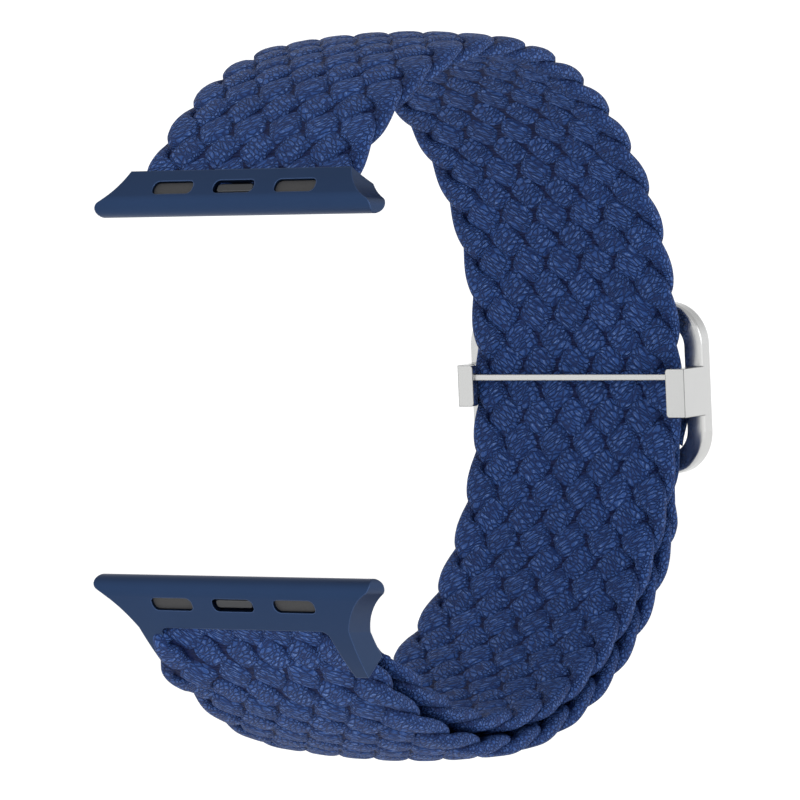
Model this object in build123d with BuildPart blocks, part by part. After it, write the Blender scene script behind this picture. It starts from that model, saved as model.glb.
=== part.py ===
# A braided elastic watch strap, closed into a loop, with a connector at each end and a steel buckle at the back.
# Lengths are in millimetres and angles in degrees.
# X runs along the strap's width, Y from the watch case towards the buckle, and Z up.
# The origin is the middle of the watch case, half way between the two noses.
# Clock angles turn about the loop's centre line: 0 is straight up and 90 is the back, where the buckle is.
from build123d import *
from math import acos, asin, atan2, cos, degrees, radians, sin, sqrt
import os

os.makedirs("parts", exist_ok=True)

# Clearances
seat_clearance = 0.02
pocket_clearance = 0.05
cut_overrun = 2.0

# The two braids
strap_width = 24.4
strap_thickness = 2.1
rim_thickness = 1.7
rim_side_height = 0.7
rim_bevel = 0.6
layer_gap = 0.15

# The loop: its centre, and the place of each braid's mouth from that centre
loop_radius = 32.7
case_to_loop_centre = 26.15
loop_centre_rise = 1.3
upper_bend_clock = 30.0
lower_bend_clock = 150.0
upper_mouth_depth = 24.44
upper_mouth_height = 19.29
lower_mouth_depth = 23.56
lower_mouth_drop = 22.49
tail_tuck = 0.5
tail_end_depth = 16.9
tail_tip_length = 2.6
tail_tip_thickness = 1.3
tail_tip_width = 23.0

# The connectors
nose_length = 32.0
nose_gap = 33.9
connector_thickness = 2.7
nose_corner_round = 0.9
nose_widest_rise = 0.7
flare_turn = 62.0
flare_bow = 0.25
upper_mouth_width = 25.6
tongue_thickness = 0.9
tongue_width = 18.2
tongue_length = 4.2
cheek_length = 5.8
cheek_mouth_width = 19.4
cheek_end_width = 20.2
cheek_tip_width = 23.2
cheek_corner_round = 0.8

# Rivets through the tongue
rivet_radius = 0.5
rivet_length = 1.1
rivet_spacing = 6.0
rivet_count = 3
rivet_setback = 2.1

# Slots, pads and catches
slot_setback = 2.17
slot_spacing = 7.1
slot_length = 4.7
slot_height = 1.45
slot_corner_round = 0.6
pad_pocket_depth = 1.1
pad_recess = 0.3
catch_slot_depth = 1.0
catch_recess = 0.25
catch_bevel = 0.3
catch_flange_length = 5.6
catch_flange_height = 1.9
catch_flange_thickness = 0.3
catch_pocket_length = 6.0
catch_pocket_height = 2.2
catch_cover_thickness = 0.5
spring_leaf_thickness = 0.12
spring_leaf_width = 1.6
spring_leaf_span = 4.4

# The buckle
buckle_lean = 5.0
ring_width = 28.0
ring_height = 17.3
ring_side_wall = 2.0
ring_bar_wall = 2.15
ring_depth = 1.8
ring_corner_round = 4.3
ring_edge_round = 0.4
ring_rise = 1.1
ring_stand_in = 1.0
rear_bar_radius = 0.5
rear_bar_drop = 0.9
rear_bar_clearance = 0.05
rear_bar_seat = 1.2
front_bar_height = 0.6
front_bar_depth = 0.55
front_bar_rise = 2.15
front_bar_seat = 0.6
front_bar_gap = 0.28
ear_side_clearance = 0.3
ear_lip_proud = 0.3
ear_root = 0.5
ear_corner_round = 0.35
left_ear_low = -0.5
left_ear_high = 3.7
left_ear_lip = 1.8
left_ear_inset = 0.8
right_ear_low = -1.6
right_ear_high = 3.3
right_ear_lip = 2.2
right_ear_inset = 0.0

# The tab that ties the lower strap to the rear bar
tab_thickness = 0.75
tab_width = 23.0
tab_return = 3.9
tab_tenon = 3.0
braid_start_gap = 0.85

# The loop's arcs, worked out from the sizes above
half_width = strap_width / 2
half_thickness = strap_thickness / 2
lower_radius = loop_radius + strap_thickness + layer_gap
nose_tip_height = nose_gap / 2


def on_clock(centre, radius, clock):
    """The point (y, z) at a radius and clock angle about a centre."""
    turn = radians(clock)
    return (centre[0] + radius * sin(turn), centre[1] + radius * cos(turn))


def clock_of(centre, point):
    """The clock angle of a point about a centre."""
    return degrees(atan2(point[0] - centre[0], point[1] - centre[1]))


def tight_arc(radius, bend_clock, point):
    """Centre and radius of the arc that leaves the loop's arc at bend_clock and goes through a point near the mouth."""
    along = (sin(radians(bend_clock)), cos(radians(bend_clock)))
    reach = point[0] * along[0] + point[1] * along[1]
    shift = (radius**2 - point[0] ** 2 - point[1] ** 2) / (2 * (radius - reach))
    return on_clock(loop_centre, shift, bend_clock), radius - shift


def from_loop_centre(point):
    """A point given from the loop's centre, as (y, z) in the part's own frame."""
    return (loop_centre[0] + point[0], loop_centre[1] + point[1])


loop_centre = (case_to_loop_centre, loop_centre_rise)
upper_mouth = (-upper_mouth_depth, upper_mouth_height)
lower_mouth = (-lower_mouth_depth, -lower_mouth_drop)
upper_centre, upper_radius = tight_arc(loop_radius, upper_bend_clock, upper_mouth)
lower_centre, lower_front_radius = tight_arc(lower_radius, lower_bend_clock, lower_mouth)
tail_shift = lower_radius - lower_front_radius + tail_tuck
tail_centre = on_clock(loop_centre, tail_shift, lower_bend_clock)
tail_radius = loop_radius - tail_shift
upper_mouth_clock = clock_of(upper_centre, from_loop_centre(upper_mouth))
lower_mouth_clock = clock_of(lower_centre, from_loop_centre(lower_mouth)) + 360
tail_end_y = case_to_loop_centre - tail_end_depth
tail_end_clock = 180 + degrees(asin((tail_centre[0] - tail_end_y) / tail_radius))
tail_tip_turn = degrees(tail_tip_length / tail_radius)


def radial_plane(centre, clock):
    """A plane through an arc's axis: its x is the strap's width and its y points out along the clock angle."""
    turn = radians(clock)
    return Plane(origin=(0, *centre), x_dir=(1, 0, 0), z_dir=(0, -cos(turn), sin(turn)))


def facing_plane(centre, radius, clock):
    """A plane that touches a cylinder about the arc's axis, with its z pointing straight out."""
    turn = radians(clock)
    point = on_clock(centre, radius, clock)
    return Plane(origin=(0, *point), x_dir=(1, 0, 0), z_dir=(0, sin(turn), cos(turn)))


def arc_axis(centre):
    return Axis((0, *centre), (1, 0, 0))


def braid_section(radius):
    """The braid's closed outline: faces that crown a little and bevelled rims."""
    rim = rim_thickness / 2
    side = rim_side_height / 2
    flat = half_width - rim_bevel
    with BuildLine() as outline:
        Polyline(
            (-flat, radius + rim),
            (0, radius + half_thickness),
            (flat, radius + rim),
            (half_width, radius + side),
            (half_width, radius - side),
            (flat, radius - rim),
            (0, radius - half_thickness),
            (-flat, radius - rim),
            (-half_width, radius - side),
            (-half_width, radius + side),
            close=True,
        )
    make_face(outline.edges())


def sweep_braid(centre, radius, start_clock, end_clock):
    """Turns the braid's outline from the later clock angle back to the earlier one."""
    with BuildSketch(radial_plane(centre, end_clock)) as section:
        braid_section(radius)
    revolve(section.sketch, arc_axis(centre), end_clock - start_clock)


def sweep_band(centre, inner, outer, width, start_clock, end_clock, mode=Mode.ADD):
    """Turns a plain rectangle, from inner to outer radius, between two clock angles."""
    with BuildSketch(radial_plane(centre, end_clock)) as section:
        with Locations((0, (inner + outer) / 2)):
            Rectangle(width, outer - inner)
    revolve(section.sketch, arc_axis(centre), end_clock - start_clock, mode=mode)


# Sizes that both connectors share
connector_half = connector_thickness / 2
nose_round_height = nose_tip_height + connector_half


def nose_clock(centre, radius, side):
    """Clock angle of the nose's round edge, for side 1 above and -1 below."""
    turn = degrees(acos((side * nose_round_height - centre[1]) / radius))
    return -turn if side > 0 else 360 - turn


upper_nose_clock = nose_clock(upper_centre, upper_radius, 1)
lower_nose_clock = nose_clock(lower_centre, lower_front_radius, -1)


def plate_profile(centre, radius, nose, mouth):
    """Side view of a connector: a curved plate with a full round at its nose."""
    toward = 1 if nose > mouth else -1
    outer = radius + connector_half
    inner = radius - connector_half
    nose_tip_clock = nose + toward * degrees(connector_half / radius)
    with BuildLine() as outline:
        CenterArc(centre, outer, 90 - mouth, mouth - nose)
        ThreePointArc(
            on_clock(centre, outer, nose),
            on_clock(centre, radius, nose_tip_clock),
            on_clock(centre, inner, nose),
        )
        CenterArc(centre, inner, 90 - nose, nose - mouth)
        Line(on_clock(centre, inner, mouth), on_clock(centre, outer, mouth))
    make_face(outline.edges())


def trim_flares(side, centre, radius, mouth, mouth_width, end, end_width):
    """Keeps the connector's front outline: rounded nose ends, then hollow flares that draw in to the mouth."""
    outer = radius + connector_half
    low = nose_tip_height + nose_widest_rise
    high = side * on_clock(centre, outer, mouth)[1]
    far = side * on_clock(centre, outer, end)[1]
    turn = radians(flare_turn)
    start_x = nose_length / 2 - nose_corner_round
    start_z = low - nose_corner_round
    bend_x = start_x + nose_corner_round * cos(turn)
    bend_z = low + nose_corner_round * sin(turn)
    middle_x = (bend_x + mouth_width / 2) / 2 - flare_bow
    middle_z = (bend_z + high) / 2 - flare_bow
    with BuildSketch(Plane.XZ) as front:
        with BuildLine():
            Line((-start_x, side * start_z), (start_x, side * start_z))
            for hand in (-1, 1):
                ThreePointArc(
                    (hand * start_x, side * start_z),
                    (hand * nose_length / 2, side * low),
                    (hand * bend_x, side * bend_z),
                )
                ThreePointArc(
                    (hand * bend_x, side * bend_z),
                    (hand * middle_x, side * middle_z),
                    (hand * mouth_width / 2, side * high),
                )
                Polyline(
                    (hand * mouth_width / 2, side * high),
                    (hand * end_width / 2, side * far),
                    (hand * end_width / 2, side * (far + cut_overrun)),
                )
            top = side * (far + cut_overrun)
            Line((-end_width / 2, top), (end_width / 2, top))
        make_face()
    extrude(front.sketch, amount=loop_radius, both=True, mode=Mode.INTERSECT)


def slot_clock(radius, nose, mouth):
    """Clock angle of the row of slots, a set distance in from the nose's edge."""
    toward = 1 if mouth > nose else -1
    return nose + toward * degrees((slot_setback - connector_half) / radius)


upper_slot_clock = slot_clock(upper_radius, upper_nose_clock, upper_mouth_clock)
lower_slot_clock = slot_clock(lower_front_radius, lower_nose_clock, lower_mouth_clock)
upper_face = facing_plane(upper_centre, upper_radius + connector_half, upper_slot_clock)
lower_face = facing_plane(
    lower_centre, lower_front_radius + connector_half, lower_slot_clock
)
catch_pocket_floor = connector_thickness - catch_slot_depth


def cut_slots(face):
    """Two blind pockets for the pads, and the stepped pocket that goes right through for the catch."""
    with BuildSketch(face.offset(-pad_pocket_depth)) as pad_slots:
        with Locations((-slot_spacing, 0), (slot_spacing, 0)):
            RectangleRounded(slot_length, slot_height, slot_corner_round)
    extrude(pad_slots.sketch, amount=pad_pocket_depth + cut_overrun, mode=Mode.SUBTRACT)
    with BuildSketch(face.offset(-catch_slot_depth)) as catch_slot:
        RectangleRounded(slot_length, slot_height, slot_corner_round)
    extrude(catch_slot.sketch, amount=catch_slot_depth + cut_overrun, mode=Mode.SUBTRACT)
    with BuildSketch(face.offset(-catch_slot_depth)) as catch_pocket:
        Rectangle(catch_pocket_length, catch_pocket_height)
    pocket_depth = catch_pocket_floor + cut_overrun
    extrude(catch_pocket.sketch, amount=-pocket_depth, mode=Mode.SUBTRACT)


def cut_rivet_holes(plane):
    """Holes for the rivets, as deep as the rivets are long."""
    depth = rivet_length + 2 * seat_clearance
    with BuildSketch(plane.offset(-depth / 2)) as holes:
        with GridLocations(rivet_spacing, 0, rivet_count, 1):
            Circle(rivet_radius + seat_clearance)
    extrude(holes.sketch, amount=depth, mode=Mode.SUBTRACT)


def tongue_reach(radius):
    return degrees(tongue_length / radius)


upper_rivet_clock = upper_mouth_clock + degrees(rivet_setback / upper_radius)
lower_rivet_clock = lower_mouth_clock - degrees(rivet_setback / lower_front_radius)
upper_rivet_plane = facing_plane(upper_centre, upper_radius, upper_rivet_clock)
lower_rivet_plane = facing_plane(lower_centre, lower_front_radius, lower_rivet_clock)

# Upper connector: the plate with its nose, and a tongue that the braid is drawn over
with BuildPart() as upper_connector:
    with BuildSketch(Plane.YZ):
        plate_profile(upper_centre, upper_radius, upper_nose_clock, upper_mouth_clock)
    extrude(amount=nose_length / 2, both=True)
    trim_flares(
        1,
        upper_centre,
        upper_radius,
        upper_mouth_clock,
        upper_mouth_width,
        upper_mouth_clock + tongue_reach(upper_radius),
        upper_mouth_width,
    )
    sweep_band(
        upper_centre,
        upper_radius - tongue_thickness / 2,
        upper_radius + tongue_thickness / 2,
        tongue_width,
        upper_mouth_clock,
        upper_mouth_clock + tongue_reach(upper_radius),
    )
    cut_slots(upper_face)
    cut_rivet_holes(upper_rivet_plane)
upper_connector.part.label = "upper_connector"
export_step(upper_connector.part, "parts/upper_connector.step")

# Lower connector: as the upper one, with two cheeks that hold the braid's rims
cheek_turn = degrees(cheek_length / lower_front_radius)
cheek_outer_radius = lower_front_radius + connector_half
with BuildPart() as lower_connector:
    with BuildSketch(Plane.YZ):
        plate_profile(
            lower_centre,
            lower_front_radius,
            lower_nose_clock,
            lower_mouth_clock - cheek_turn,
        )
    extrude(amount=nose_length / 2, both=True)
    trim_flares(
        -1,
        lower_centre,
        lower_front_radius,
        lower_mouth_clock,
        strap_width,
        lower_mouth_clock - cheek_turn,
        cheek_tip_width,
    )
    with BuildSketch(facing_plane(lower_centre, 0, lower_mouth_clock)):
        with BuildLine():
            Polyline(
                (-cheek_mouth_width / 2, 0),
                (cheek_mouth_width / 2, 0),
                (cheek_end_width / 2, -cheek_length),
                (cheek_end_width / 2, -cheek_length - cut_overrun),
                (-cheek_end_width / 2, -cheek_length - cut_overrun),
                (-cheek_end_width / 2, -cheek_length),
                close=True,
            )
        make_face()
        fillet(vertices().group_by(Axis.Y)[-1], cheek_corner_round)
    extrude(amount=cheek_outer_radius + cut_overrun, mode=Mode.SUBTRACT)
    sweep_band(
        lower_centre,
        lower_front_radius - tongue_thickness / 2,
        lower_front_radius + tongue_thickness / 2,
        tongue_width,
        lower_mouth_clock - tongue_reach(lower_front_radius),
        lower_mouth_clock,
    )
    cut_slots(lower_face)
    cut_rivet_holes(lower_rivet_plane)
lower_connector.part.label = "lower_connector"
export_step(lower_connector.part, "parts/lower_connector.step")

# Both connectors' small pieces, made by one loop: two pads, catch, leaf spring, cover and rivets
spring_room = catch_pocket_floor - catch_flange_thickness - catch_cover_thickness
spring_rise = spring_room - spring_leaf_thickness - 3 * seat_clearance
sides = {
    "upper": (upper_face, upper_rivet_plane),
    "lower": (lower_face, lower_rivet_plane),
}
for side, (face, rivet_plane) in sides.items():
    pad_depth = pad_pocket_depth - pad_recess
    for hand, hand_name in ((-1, "left"), (1, "right")):
        with BuildPart() as pad:
            with BuildSketch(face.offset(-pad_pocket_depth)):
                with Locations((hand * slot_spacing, 0)):
                    RectangleRounded(
                        slot_length - 2 * pocket_clearance,
                        slot_height - 2 * pocket_clearance,
                        slot_corner_round - pocket_clearance,
                    )
            extrude(amount=pad_depth)
        pad.part.label = f"{side}_{hand_name}_pad"
        export_step(pad.part, f"parts/{side}_{hand_name}_pad.step")

    flange_top = catch_slot_depth + seat_clearance
    with BuildPart() as catch:
        with BuildSketch(face.offset(-flange_top)):
            RectangleRounded(
                slot_length - 2 * pocket_clearance,
                slot_height - 2 * pocket_clearance,
                slot_corner_round - pocket_clearance,
            )
        extrude(amount=flange_top - catch_recess)
        tip_edges = catch.edges().group_by(Axis(face.origin, face.z_dir))[-1]
        chamfer(tip_edges, catch_bevel)
        with BuildSketch(face.offset(-flange_top)):
            Rectangle(catch_flange_length, catch_flange_height)
        extrude(amount=-catch_flange_thickness)
    catch.part.label = f"{side}_catch"
    export_step(catch.part, f"parts/{side}_catch.step")

    crown = flange_top + catch_flange_thickness + seat_clearance
    foot = crown + spring_rise
    half_span = spring_leaf_span / 2
    spring_plane = Plane(origin=face.origin, x_dir=(1, 0, 0), z_dir=-face.y_dir)
    with BuildPart() as catch_spring:
        with BuildSketch(spring_plane):
            with BuildLine():
                ThreePointArc((-half_span, -foot), (0, -crown), (half_span, -foot))
                Line((half_span, -foot), (half_span, -foot - spring_leaf_thickness))
                ThreePointArc(
                    (half_span, -foot - spring_leaf_thickness),
                    (0, -crown - spring_leaf_thickness),
                    (-half_span, -foot - spring_leaf_thickness),
                )
                Line((-half_span, -foot - spring_leaf_thickness), (-half_span, -foot))
            make_face()
        extrude(amount=spring_leaf_width / 2, both=True)
    catch_spring.part.label = f"{side}_catch_spring"
    export_step(catch_spring.part, f"parts/{side}_catch_spring.step")

    with BuildPart() as catch_cover:
        with BuildSketch(face.offset(-connector_thickness)):
            Rectangle(
                catch_pocket_length - 2 * seat_clearance,
                catch_pocket_height - 2 * seat_clearance,
            )
        extrude(amount=catch_cover_thickness)
    catch_cover.part.label = f"{side}_catch_cover"
    export_step(catch_cover.part, f"parts/{side}_catch_cover.step")

    with BuildPart() as rivets:
        with BuildSketch(rivet_plane.offset(-rivet_length / 2)):
            with GridLocations(rivet_spacing, 0, rivet_count, 1):
                Circle(rivet_radius)
        extrude(amount=rivet_length)
    rivets.part.label = f"{side}_rivets"
    export_step(rivets.part, f"parts/{side}_rivets.step")


def cut_tongue_pocket(centre, radius, start_clock, end_clock):
    """The room inside a braid's end that its connector's tongue fills."""
    half = tongue_thickness / 2 + pocket_clearance
    width = tongue_width + 2 * pocket_clearance
    sweep_band(centre, radius - half, radius + half, width, start_clock, end_clock, Mode.SUBTRACT)


# Upper strap: front arc from the connector, the loop's own arc past the buckle, then the tail's tighter arc
with BuildPart() as upper_strap:
    sweep_braid(upper_centre, upper_radius, upper_mouth_clock, upper_bend_clock)
    sweep_braid(loop_centre, loop_radius, upper_bend_clock, lower_bend_clock)
    sweep_braid(tail_centre, tail_radius, lower_bend_clock, tail_end_clock)
    pocket_turn = degrees((tongue_length + pocket_clearance) / upper_radius)
    cut_tongue_pocket(
        upper_centre, upper_radius, upper_mouth_clock, upper_mouth_clock + pocket_turn
    )
    cut_rivet_holes(upper_rivet_plane)
upper_strap.part.label = "upper_strap"
export_step(upper_strap.part, "parts/upper_strap.step")

# Tail tip: the braid's end, sealed and pressed thinner
with BuildPart() as tail_tip:
    sweep_band(
        tail_centre,
        tail_radius - tail_tip_thickness / 2,
        tail_radius + tail_tip_thickness / 2,
        tail_tip_width,
        tail_end_clock,
        tail_end_clock + tail_tip_turn,
    )
tail_tip.part.label = "tail_tip"
export_step(tail_tip.part, "parts/tail_tip.step")

# Buckle: its plane stands on the rear bar and leans towards the wrist at the top
lean = radians(buckle_lean)
lower_inner_radius = lower_radius - half_thickness
bar_depth = lower_inner_radius + tab_thickness + rear_bar_clearance + rear_bar_radius
bar_centre = from_loop_centre((bar_depth, -rear_bar_drop))
ring_up = Vector(0, -sin(lean), cos(lean))
ring_inward = Vector(0, -cos(lean), -sin(lean))
buckle_plane = Plane(origin=(0, *bar_centre), x_dir=(1, 0, 0), z_dir=ring_inward)
ring_stand_out = ring_depth - ring_stand_in
strap_inner_depth = loop_radius - half_thickness
bar_face_depth = strap_inner_depth - front_bar_gap
front_bar_middle = front_bar_rise + front_bar_height / 2
front_bar_near = (bar_depth - bar_face_depth) / cos(lean) - front_bar_middle * sin(lean)
front_bar_far = front_bar_near + front_bar_depth
ear_front = front_bar_far + ear_lip_proud
ring_half = ring_width / 2
ear_inner = half_width + ear_side_clearance
ears = (
    (-1, left_ear_low, left_ear_high, left_ear_lip, left_ear_inset),
    (1, right_ear_low, right_ear_high, right_ear_lip, right_ear_inset),
)

across_plane = Plane(origin=(0, *bar_centre), x_dir=ring_up, z_dir=(1, 0, 0))
left_lip_edge = left_ear_inset + left_ear_lip - ring_half
right_lip_edge = ring_half - right_ear_inset - right_ear_lip
bar_left = left_lip_edge - front_bar_seat
bar_right = right_lip_edge + front_bar_seat
front_bar_spot = (front_bar_middle, (front_bar_near + front_bar_far) / 2)

# Buckle frame: a flat ring on the strap's outer side, with an ear on each side that hooks round the strap's rim
with BuildPart() as buckle_frame:
    with BuildSketch(buckle_plane.offset(-ring_stand_out)):
        with Locations((0, ring_rise)):
            RectangleRounded(ring_width, ring_height, ring_corner_round)
            RectangleRounded(
                ring_width - 2 * ring_side_wall,
                ring_height - 2 * ring_bar_wall,
                ring_corner_round - ring_side_wall,
                mode=Mode.SUBTRACT,
            )
    extrude(amount=ring_depth)
    long_edges = buckle_frame.edges().filter_by(GeomType.LINE).filter_by(Axis.X).sort_by(Axis.Z)
    fillet([*long_edges[:2], *long_edges[-2:]], ring_edge_round)
    for hand, low, high, lip, inset in ears:
        ear_plane = Plane(
            origin=buckle_plane.from_local_coords(Vector(0, high, 0)),
            x_dir=(1, 0, 0),
            z_dir=-ring_up,
        )
        front_outer = ring_half - inset
        with BuildSketch(ear_plane):
            with BuildLine():
                Polyline(
                    (hand * ring_half, ring_stand_in - ear_root),
                    (hand * ring_half, ring_stand_in),
                    (hand * front_outer, ear_front),
                    (hand * (front_outer - lip), ear_front),
                    (hand * (front_outer - lip), front_bar_near),
                    (hand * ear_inner, front_bar_near),
                    (hand * ear_inner, ring_stand_in - ear_root),
                    close=True,
                )
            make_face()
        extrude(amount=high - low)
        lip_edge = hand * (front_outer - lip)
        front_edges = buckle_frame.edges().filter_by(Axis((0, *bar_centre), ring_inward))
        lip_corners = front_edges.filter_by(lambda edge: abs(edge.center().X - lip_edge) < seat_clearance)
        fillet(lip_corners, ear_corner_round)
    with BuildSketch(across_plane.offset(bar_left)):
        with Locations(front_bar_spot):
            Rectangle(front_bar_height, front_bar_depth)
    extrude(amount=bar_right - bar_left, mode=Mode.SUBTRACT)
    with BuildSketch(across_plane.offset(-half_width - rear_bar_seat)):
        Circle(rear_bar_radius)
    extrude(amount=2 * (half_width + rear_bar_seat), mode=Mode.SUBTRACT)
buckle_frame.part.label = "buckle_frame"
export_step(buckle_frame.part, "parts/buckle_frame.step")

# Front bar, let into both ears' lips
with BuildPart() as front_bar:
    with BuildSketch(across_plane.offset(bar_left)):
        with Locations(front_bar_spot):
            Rectangle(front_bar_height, front_bar_depth)
    extrude(amount=bar_right - bar_left)
front_bar.part.label = "front_bar"
export_step(front_bar.part, "parts/front_bar.step")

# Rear bar, let into the ring's side walls
with BuildPart() as rear_bar:
    with BuildSketch(across_plane.offset(-half_width - rear_bar_seat)):
        Circle(rear_bar_radius)
    extrude(amount=2 * (half_width + rear_bar_seat))
rear_bar.part.label = "rear_bar"
export_step(rear_bar.part, "parts/rear_bar.step")

# Lower strap: from its connector, the front arc, then the loop's outer arc to just under the buckle
braid_start_below_bar = ring_height / 2 - ring_rise + braid_start_gap
braid_start = degrees(asin((rear_bar_drop + braid_start_below_bar) / lower_radius)) + 90
tenon_turn = degrees(tab_tenon / lower_radius)
tab_outer_radius = lower_inner_radius + tab_thickness
with BuildPart() as lower_strap:
    sweep_braid(loop_centre, lower_radius, braid_start, lower_bend_clock)
    sweep_braid(lower_centre, lower_front_radius, lower_bend_clock, lower_mouth_clock)
    edge = half_width + cut_overrun
    cheek_end = cheek_outer_radius * sin(radians(cheek_turn)) + pocket_clearance
    mouth_corner = cheek_mouth_width / 2 - pocket_clearance
    corner_cut = cheek_corner_round + pocket_clearance
    with BuildSketch(facing_plane(lower_centre, 0, lower_mouth_clock)):
        for hand in (-1, 1):
            with BuildLine():
                Polyline(
                    (hand * (mouth_corner - corner_cut), 0),
                    (hand * (mouth_corner - corner_cut), cut_overrun),
                    (hand * edge, cut_overrun),
                    (hand * edge, -cheek_end),
                    (hand * (cheek_end_width / 2 - pocket_clearance), -cheek_end),
                    (hand * mouth_corner, -corner_cut),
                    close=True,
                )
            make_face()
    extrude(amount=cheek_outer_radius + cut_overrun, mode=Mode.SUBTRACT)
    lower_pocket_turn = degrees((tongue_length + pocket_clearance) / lower_front_radius)
    cut_tongue_pocket(
        lower_centre,
        lower_front_radius,
        lower_mouth_clock - lower_pocket_turn,
        lower_mouth_clock,
    )
    cut_rivet_holes(lower_rivet_plane)
    sweep_band(
        loop_centre,
        lower_inner_radius - cut_overrun,
        tab_outer_radius,
        strap_width + cut_overrun,
        braid_start,
        braid_start + tenon_turn,
        Mode.SUBTRACT,
    )
lower_strap.part.label = "lower_strap"
export_step(lower_strap.part, "parts/lower_strap.step")

# Buckle tab: the lower strap's pressed end, which runs up inside the ring, round the rear bar and back on itself
wrap_inner = rear_bar_radius + rear_bar_clearance
wrap_outer = wrap_inner + tab_thickness
bar_clock = clock_of(loop_centre, bar_centre)
return_end = from_loop_centre(
    (sqrt(tab_outer_radius**2 - tab_return**2), -rear_bar_drop - tab_return)
)
with BuildPart() as buckle_tab:
    sweep_band(
        loop_centre,
        lower_inner_radius,
        tab_outer_radius,
        tab_width,
        bar_clock,
        braid_start + tenon_turn,
    )
    with BuildSketch(Plane.YZ):
        with BuildLine():
            Polyline(
                (bar_centre[0] + wrap_outer, bar_centre[1]),
                (return_end[0] + tab_thickness / 2, return_end[1]),
                (return_end[0] - tab_thickness / 2, return_end[1]),
                (bar_centre[0] + wrap_inner, bar_centre[1]),
                close=True,
            )
        make_face()
    extrude(amount=tab_width / 2, both=True)
    with BuildSketch(Plane.YZ):
        with BuildLine():
            Line(
                (bar_centre[0] - wrap_outer, bar_centre[1]),
                (bar_centre[0] - wrap_inner, bar_centre[1]),
            )
            ThreePointArc(
                (bar_centre[0] - wrap_inner, bar_centre[1]),
                (bar_centre[0], bar_centre[1] + wrap_inner),
                (bar_centre[0] + wrap_inner, bar_centre[1]),
            )
            Line(
                (bar_centre[0] + wrap_inner, bar_centre[1]),
                (bar_centre[0] + wrap_outer, bar_centre[1]),
            )
            ThreePointArc(
                (bar_centre[0] + wrap_outer, bar_centre[1]),
                (bar_centre[0], bar_centre[1] + wrap_outer),
                (bar_centre[0] - wrap_outer, bar_centre[1]),
            )
        make_face()
    extrude(amount=tab_width / 2, both=True)
buckle_tab.part.label = "buckle_tab"
export_step(buckle_tab.part, "parts/buckle_tab.step")
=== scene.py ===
# %% [markdown]
# # A braided elastic watch strap
# The strap is a loop of two flat braids. The upper braid runs over the top, through the steel buckle and
# back inside the lower one, and each braid ends in a navy metal connector that slides into a watch case.
# The metal and rubber pieces come from the CAD frame as they are, and only get their finish here. The braids
# are soft, so they are modelled here: every strand is a tube that crosses its neighbours over and under,
# because the dark gaps and the scalloped rims of the real strap come from that crossing and nothing else.

# %% Load the frame
import math

import bmesh
import bpy
import numpy as np
from mathutils import Matrix, Vector


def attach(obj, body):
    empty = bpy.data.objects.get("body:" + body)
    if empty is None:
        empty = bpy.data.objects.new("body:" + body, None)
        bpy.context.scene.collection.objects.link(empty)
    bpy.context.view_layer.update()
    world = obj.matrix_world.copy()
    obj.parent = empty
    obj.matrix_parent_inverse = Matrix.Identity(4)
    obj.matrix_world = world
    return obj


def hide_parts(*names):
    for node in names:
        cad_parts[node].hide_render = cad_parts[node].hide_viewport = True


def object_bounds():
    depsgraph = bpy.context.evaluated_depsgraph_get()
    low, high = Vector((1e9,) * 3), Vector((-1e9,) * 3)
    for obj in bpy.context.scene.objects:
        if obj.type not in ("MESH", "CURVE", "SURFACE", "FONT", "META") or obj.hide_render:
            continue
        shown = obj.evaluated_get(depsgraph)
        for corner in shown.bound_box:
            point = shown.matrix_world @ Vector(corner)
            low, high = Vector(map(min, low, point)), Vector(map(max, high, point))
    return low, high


MM = 0.001
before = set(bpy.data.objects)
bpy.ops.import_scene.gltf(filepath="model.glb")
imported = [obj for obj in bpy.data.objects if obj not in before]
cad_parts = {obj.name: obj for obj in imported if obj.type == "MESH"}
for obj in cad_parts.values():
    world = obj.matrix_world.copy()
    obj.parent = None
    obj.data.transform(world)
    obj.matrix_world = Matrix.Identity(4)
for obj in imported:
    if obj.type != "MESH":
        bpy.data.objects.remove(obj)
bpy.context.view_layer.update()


# %% [markdown]
# ## The camera
# The photograph was taken almost level, from about two thirds of a metre, 35 degrees to the right of the
# strap's open front. These angles were found by laying the loop's rims, the rows of slots and the buckle's
# bar over the photograph. A camera can be aimed with a constraint, but that leaves no say over its roll, so
# its three axes are worked out here and set as a matrix.

# %% The camera's axes
camera_yaw = math.radians(34.7)
camera_pitch = math.radians(-0.46)
camera_roll = math.radians(-0.38)

look = Vector(
    (
        -math.sin(camera_yaw) * math.cos(camera_pitch),
        math.cos(camera_yaw) * math.cos(camera_pitch),
        -math.sin(camera_pitch),
    )
)
level_right = Vector((math.cos(camera_yaw), math.sin(camera_yaw), 0))
level_up = level_right.cross(look)
right = math.cos(camera_roll) * level_right - math.sin(camera_roll) * level_up
up = math.sin(camera_roll) * level_right + math.cos(camera_roll) * level_up
print("the camera looks along", [round(value, 3) for value in look])

# %% [markdown]
# The lens follows from the picture's scale: so many pixels show one millimetre at the camera's distance.
# One point on the loop's axis, the aim, keeps its own pixel of the square picture, so the camera steps
# aside by what that pixel is off the middle.

# %% The camera's place and lens
picture_width_px = 800
pixels_per_mm = 10.31
camera_distance = 669 * MM
sensor_width_mm = 36
nearest_shown = 50 * MM
farthest_shown = 20000 * MM
aim = Vector((0, 25.0 * MM, 0.19 * MM))
aim_px = (386.7, 396.7)

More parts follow.
